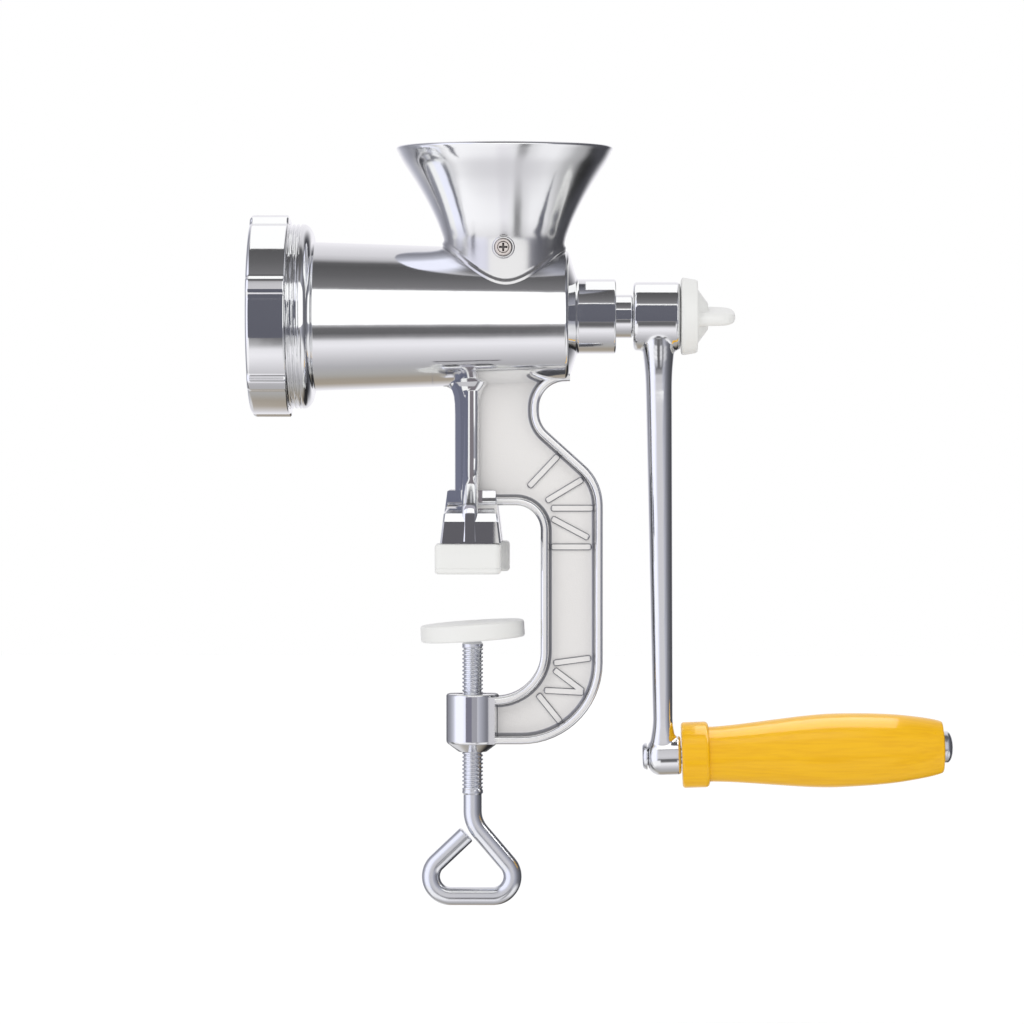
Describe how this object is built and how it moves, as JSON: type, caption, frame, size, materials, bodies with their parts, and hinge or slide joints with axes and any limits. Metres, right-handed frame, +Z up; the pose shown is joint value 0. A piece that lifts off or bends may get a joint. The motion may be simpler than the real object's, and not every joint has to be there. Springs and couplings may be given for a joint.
{
  "type": "manual meat grinder",
  "caption": "Hand-cranked meat grinder: tapered barrel with hopper, helical auger, knife and perforated plate under a ring nut, on a C-frame with a screw clamp.",
  "frame": {"origin": "on the clamp screw's axis, level with the undersides of the two upper pads, where the table top's upper surface sits", "axes": "+X back along the barrel towards the crank, +Y away from the viewer of the picture, +Z up"},
  "size_m": [0.2666, 0.0822, 0.2886],
  "materials": {
    "cast_aluminium": "polished casting",
    "steel": "ground",
    "zinc_plate": "zinc plated",
    "nylon": "moulded",
    "wood": "varnished"
  },
  "bodies": {
    "frame": {"barrel": "cast_aluminium", "clamp_frame": "cast_aluminium", "hopper": "cast_aluminium", "hopper_screws": "zinc_plate", "rear_bush": "nylon", "plate_key": "zinc_plate", "upper_pad_near": "nylon", "upper_pad_far": "nylon"},
    "auger": {"auger": "cast_aluminium", "thrust_washer": "nylon", "knife_spigot": "steel", "cross_knife": "steel"},
    "plate": {"grinding_plate": "steel"},
    "ring_nut": {"ring_nut": "cast_aluminium"},
    "crank": {"crank_arm": "cast_aluminium", "grip_spindle": "zinc_plate", "grip_end_cap": "zinc_plate"},
    "grip": {"grip": "wood"},
    "thumb_screw": {"thumb_knob": "nylon", "thumb_stud": "zinc_plate"},
    "swivel_pin": {"swivel_pin": "zinc_plate"},
    "clamp_screw": {"clamp_screw": "zinc_plate"},
    "clamp_pad": {"clamp_pad": "nylon"}
  },
  "joints": [
    {"name": "crank_turn", "type": "hinge", "parent": "frame", "child": "auger", "pos_m": [0, 0, 0.0972], "axis": [1, 0, 0], "continuous": true},
    {"name": "plate_release", "type": "slide", "parent": "frame", "child": "plate", "axis": [-1, 0, 0], "range_m": [0, 0.011]},
    {"name": "ring_nut_turn", "type": "hinge", "parent": "plate", "child": "ring_nut", "pos_m": [-0.0768, 0, 0.0972], "axis": [-1, 0, 0], "range_deg": [0, 2475]},
    {"name": "crank_release", "type": "slide", "parent": "auger", "child": "crank", "axis": [1, 0, 0], "range_m": [0, 0.012]},
    {"name": "thumb_screw_turn", "type": "hinge", "parent": "crank", "child": "thumb_screw", "pos_m": [0.082, 0, 0.0972], "axis": [1, 0, 0], "range_deg": [0, 3456]},
    {"name": "grip_turn", "type": "hinge", "parent": "crank", "child": "grip", "pos_m": [0.07287, 0, -0.0698], "axis": [0.9995, 0, 0.0325], "continuous": true},
    {"name": "clamp_travel", "type": "slide", "parent": "frame", "child": "swivel_pin", "axis": [0, 0, 1], "range_m": [-0.014, 0.014]},
    {"name": "clamp_screw_turn", "type": "hinge", "parent": "swivel_pin", "child": "clamp_screw", "pos_m": [0, 0, -0.055], "axis": [0, 0, 1], "range_deg": [-3360, 3360]},
    {"name": "clamp_pad_tilt", "type": "hinge", "parent": "swivel_pin", "child": "clamp_pad", "pos_m": [0, 0, -0.02235], "axis": [0, 1, 0], "range_deg": [-4.15, 11.85]}
  ],
  "couplings": [
    {"joint": "plate_release", "follows": "ring_nut_turn", "m_per_rad": 0.00025465},
    {"joint": "thumb_screw_turn", "follows": "crank_release", "rad_per_m": 5026.5},
    {"joint": "clamp_travel", "follows": "clamp_screw_turn", "m_per_rad": 0.00023873}
  ]
}
